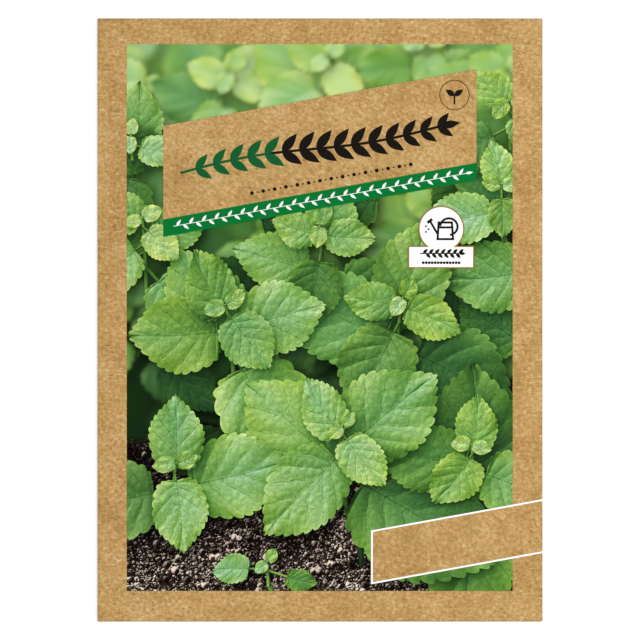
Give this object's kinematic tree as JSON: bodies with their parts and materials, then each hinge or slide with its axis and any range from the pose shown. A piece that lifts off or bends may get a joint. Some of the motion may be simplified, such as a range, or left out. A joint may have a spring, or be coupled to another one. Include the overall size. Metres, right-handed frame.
{
  "type": "seed packet",
  "caption": "Flat kraft-paper seed packet lying on its back: folded envelope with a slightly crowned front, glued seam and end flaps, and a sealed inner sachet of small seeds.",
  "frame": {"origin": "middle of the packet's outline, on the surface that its back lies on", "axes": "+X to the right of the printed front, +Y towards the packet's top edge, +Z out of the front"},
  "size_m": [0.118, 0.16, 0.0024],
  "materials": {
    "kraft_paper": "matte",
    "dried_glue": "satin",
    "sachet_paper": "satin",
    "seed_coat": "matte",
    "printed_picture": "satin",
    "printed_kraft": "satin",
    "printed_green": "satin",
    "printed_white": "satin",
    "printed_rust": "satin",
    "printed_black": "satin"
  },
  "bodies": {
    "root": {"packet_envelope": "kraft_paper", "side_seam_glue": "dried_glue", "top_flap_glue": "dried_glue", "bottom_flap_glue": "dried_glue", "seed_sachet": "sachet_paper", "seeds": "seed_coat"}
  },
  "joints": []
}
